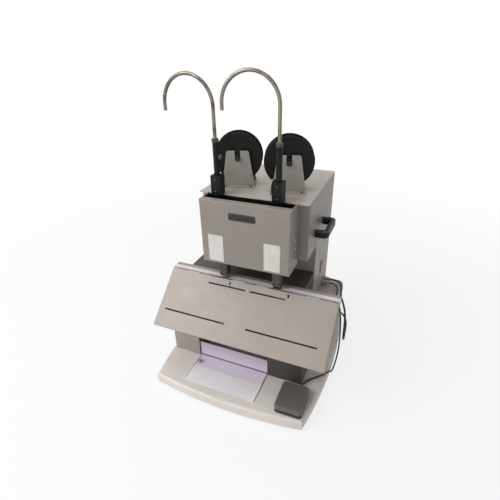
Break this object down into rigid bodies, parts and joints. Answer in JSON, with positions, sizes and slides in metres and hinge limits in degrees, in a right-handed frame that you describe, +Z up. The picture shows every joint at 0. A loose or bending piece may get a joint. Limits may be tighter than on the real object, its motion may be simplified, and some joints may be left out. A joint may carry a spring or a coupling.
{
  "type": "wire stitcher",
  "caption": "Bench wire stitcher with wire reels on stands, hooked guide tubes, stitching heads over a ridge, a sloped hinged table, a bowed base and a foot pedal",
  "frame": {"origin": "on the bench, under the middle of the base", "axes": "+Z up, the operator at -Y, +X to the operator's right"},
  "size_m": [0.5655, 0.7347, 0.922],
  "materials": {
    "base_paint": "satin, warm light grey",
    "beige_paint": "satin beige",
    "table_paint": "satin grey beige",
    "light_paint": "satin light beige",
    "cover_paint": "satin warm grey",
    "dark_paint": "satin dark grey",
    "bare_steel": "ground steel",
    "stand_paint": "satin grey",
    "tube_chrome": "bright",
    "wire_steel": "drawn wire",
    "black_plastic": "fine grain",
    "grey_plastic": "fine grain",
    "black_gloss": "smooth",
    "red_plastic": "smooth",
    "white_plastic": "smooth white",
    "foot_rubber": "matt",
    "cord_rubber": "matt",
    "pedal_paint": "hammered dark grey",
    "motor_paint": "satin",
    "board_green": "laminate"
  },
  "bodies": {
    "machine": {"base_shell": "base_paint", "base_plate": "bare_steel", "rubber_feet": "foot_rubber", "rear_housing": "light_paint", "column_frame": "dark_paint", "column_covers": "beige_paint", "rear_cover": "beige_paint", "saddle_arm": "dark_paint", "throat_plate": "dark_paint", "ridge_rail": "beige_paint", "ruler_strip": "white_plastic", "clinchers": "bare_steel", "table_hinge_pin": "bare_steel", "table_support_left": "stand_paint", "table_support_right": "dark_paint", "head_frame": "dark_paint", "main_housing": "cover_paint", "top_plate": "light_paint", "front_cover": "cover_paint", "wire_trough": "black_plastic", "name_plate": "black_gloss", "label_plates": "white_plastic", "cover_screws": "bare_steel", "stitch_heads": "dark_paint", "reel_stands": "stand_paint", "reel_axles": "bare_steel", "guide_clamps": "black_plastic", "handle_left": "black_plastic", "handle_right": "black_plastic", "switch_bezel": "black_gloss", "motor": "motor_paint", "drive_belt": "cord_rubber", "shaft_bearings": "bare_steel", "control_board": "board_green", "pedal_base": "pedal_paint", "pedal_pin": "bare_steel", "pedal_spring": "bare_steel", "cord_glands": "grey_plastic", "pedal_cord": "cord_rubber", "mains_cord": "cord_rubber", "mains_coil": "cord_rubber", "coil_tie": "black_plastic", "mains_plug": "black_plastic"},
    "table": {"front_table": "table_paint"},
    "tray": {"catch_tray": "white_plastic", "tray_knob": "stand_paint"},
    "left_former": {"former_left": "bare_steel"},
    "right_former": {"former_right": "bare_steel"},
    "shaft": {"drive_shaft": "bare_steel"},
    "rotor": {"motor_pulley": "bare_steel"},
    "left_reel": {"spool_left": "black_plastic", "wire_winding_left": "wire_steel"},
    "right_reel": {"spool_right": "black_plastic", "wire_winding_right": "wire_steel"},
    "left_guide": {"guide_tube_left": "tube_chrome"},
    "right_guide": {"guide_tube_right": "tube_chrome"},
    "clamp_screw": {"thumb_screw": "bare_steel"},
    "wheel": {"tension_wheel": "stand_paint"},
    "rocker": {"switch_rocker": "red_plastic"},
    "treadle": {"pedal_treadle": "pedal_paint"}
  },
  "joints": [
    {"name": "table_tilt", "type": "hinge", "parent": "machine", "child": "table", "pos_m": [0, -0.06731, 0.308], "axis": [-1, 0, 0], "range_deg": [0, 42]},
    {"name": "tray_slide", "type": "slide", "parent": "machine", "child": "tray", "axis": [0, -1, 0], "range_m": [0, 0.1]},
    {"name": "former_right_drive", "type": "slide", "parent": "machine", "child": "right_former", "axis": [0, 0, -1], "range_m": [0, 0.0297]},
    {"name": "former_left_drive", "type": "slide", "parent": "machine", "child": "left_former", "axis": [0, 0, -1], "range_m": [0, 0.0297]},
    {"name": "shaft_spin", "type": "hinge", "parent": "machine", "child": "shaft", "pos_m": [0, 0.14, 0.49925], "axis": [1, 0, 0], "continuous": true},
    {"name": "motor_spin", "type": "hinge", "parent": "machine", "child": "rotor", "pos_m": [0.13, 0.18, 0.248], "axis": [1, 0, 0], "continuous": true},
    {"name": "reel_left_spin", "type": "hinge", "parent": "machine", "child": "left_reel", "pos_m": [-0.086, 0.067, 0.674], "axis": [-0.309, 0.9511, 0], "continuous": true},
    {"name": "reel_right_spin", "type": "hinge", "parent": "machine", "child": "right_reel", "pos_m": [0.074, 0.067, 0.674], "axis": [-0.309, 0.9511, 0], "continuous": true},
    {"name": "guide_left_swivel", "type": "hinge", "parent": "machine", "child": "left_guide", "pos_m": [-0.104, -0.045, 0.64], "axis": [0, 0, 1], "range_deg": [-45, 45]},
    {"name": "guide_right_swivel", "type": "hinge", "parent": "machine", "child": "right_guide", "pos_m": [0.082, -0.045, 0.64], "axis": [0, 0, 1], "range_deg": [-45, 45]},
    {"name": "clamp_screw_turn", "type": "hinge", "parent": "machine", "child": "clamp_screw", "pos_m": [-0.096, -0.045, 0.697], "axis": [1, 0, 0], "range_deg": [0, 360]},
    {"name": "tension_wheel_turn", "type": "hinge", "parent": "machine", "child": "wheel", "pos_m": [0.064, -0.045, 0.628], "axis": [1, 0, 0], "continuous": true},
    {"name": "switch_throw", "type": "hinge", "parent": "machine", "child": "rocker", "pos_m": [0.166, 0.18, 0.274], "axis": [0, 1, 0], "range_deg": [0, 16]},
    {"name": "pedal_press", "type": "hinge", "parent": "machine", "child": "treadle", "pos_m": [0.19528, -0.18601, 0.049], "axis": [0.9998, 0.0175, 0], "range_deg": [0, 4], "stiffness_Nm_per_rad": 18, "springref_deg": -3.44, "deforming": ["pedal_spring"]}
  ],
  "couplings": [
    {"joint": "former_left_drive", "follows": "former_right_drive", "ratio": 1},
    {"joint": "motor_spin", "follows": "shaft_spin", "ratio": 3}
  ]
}
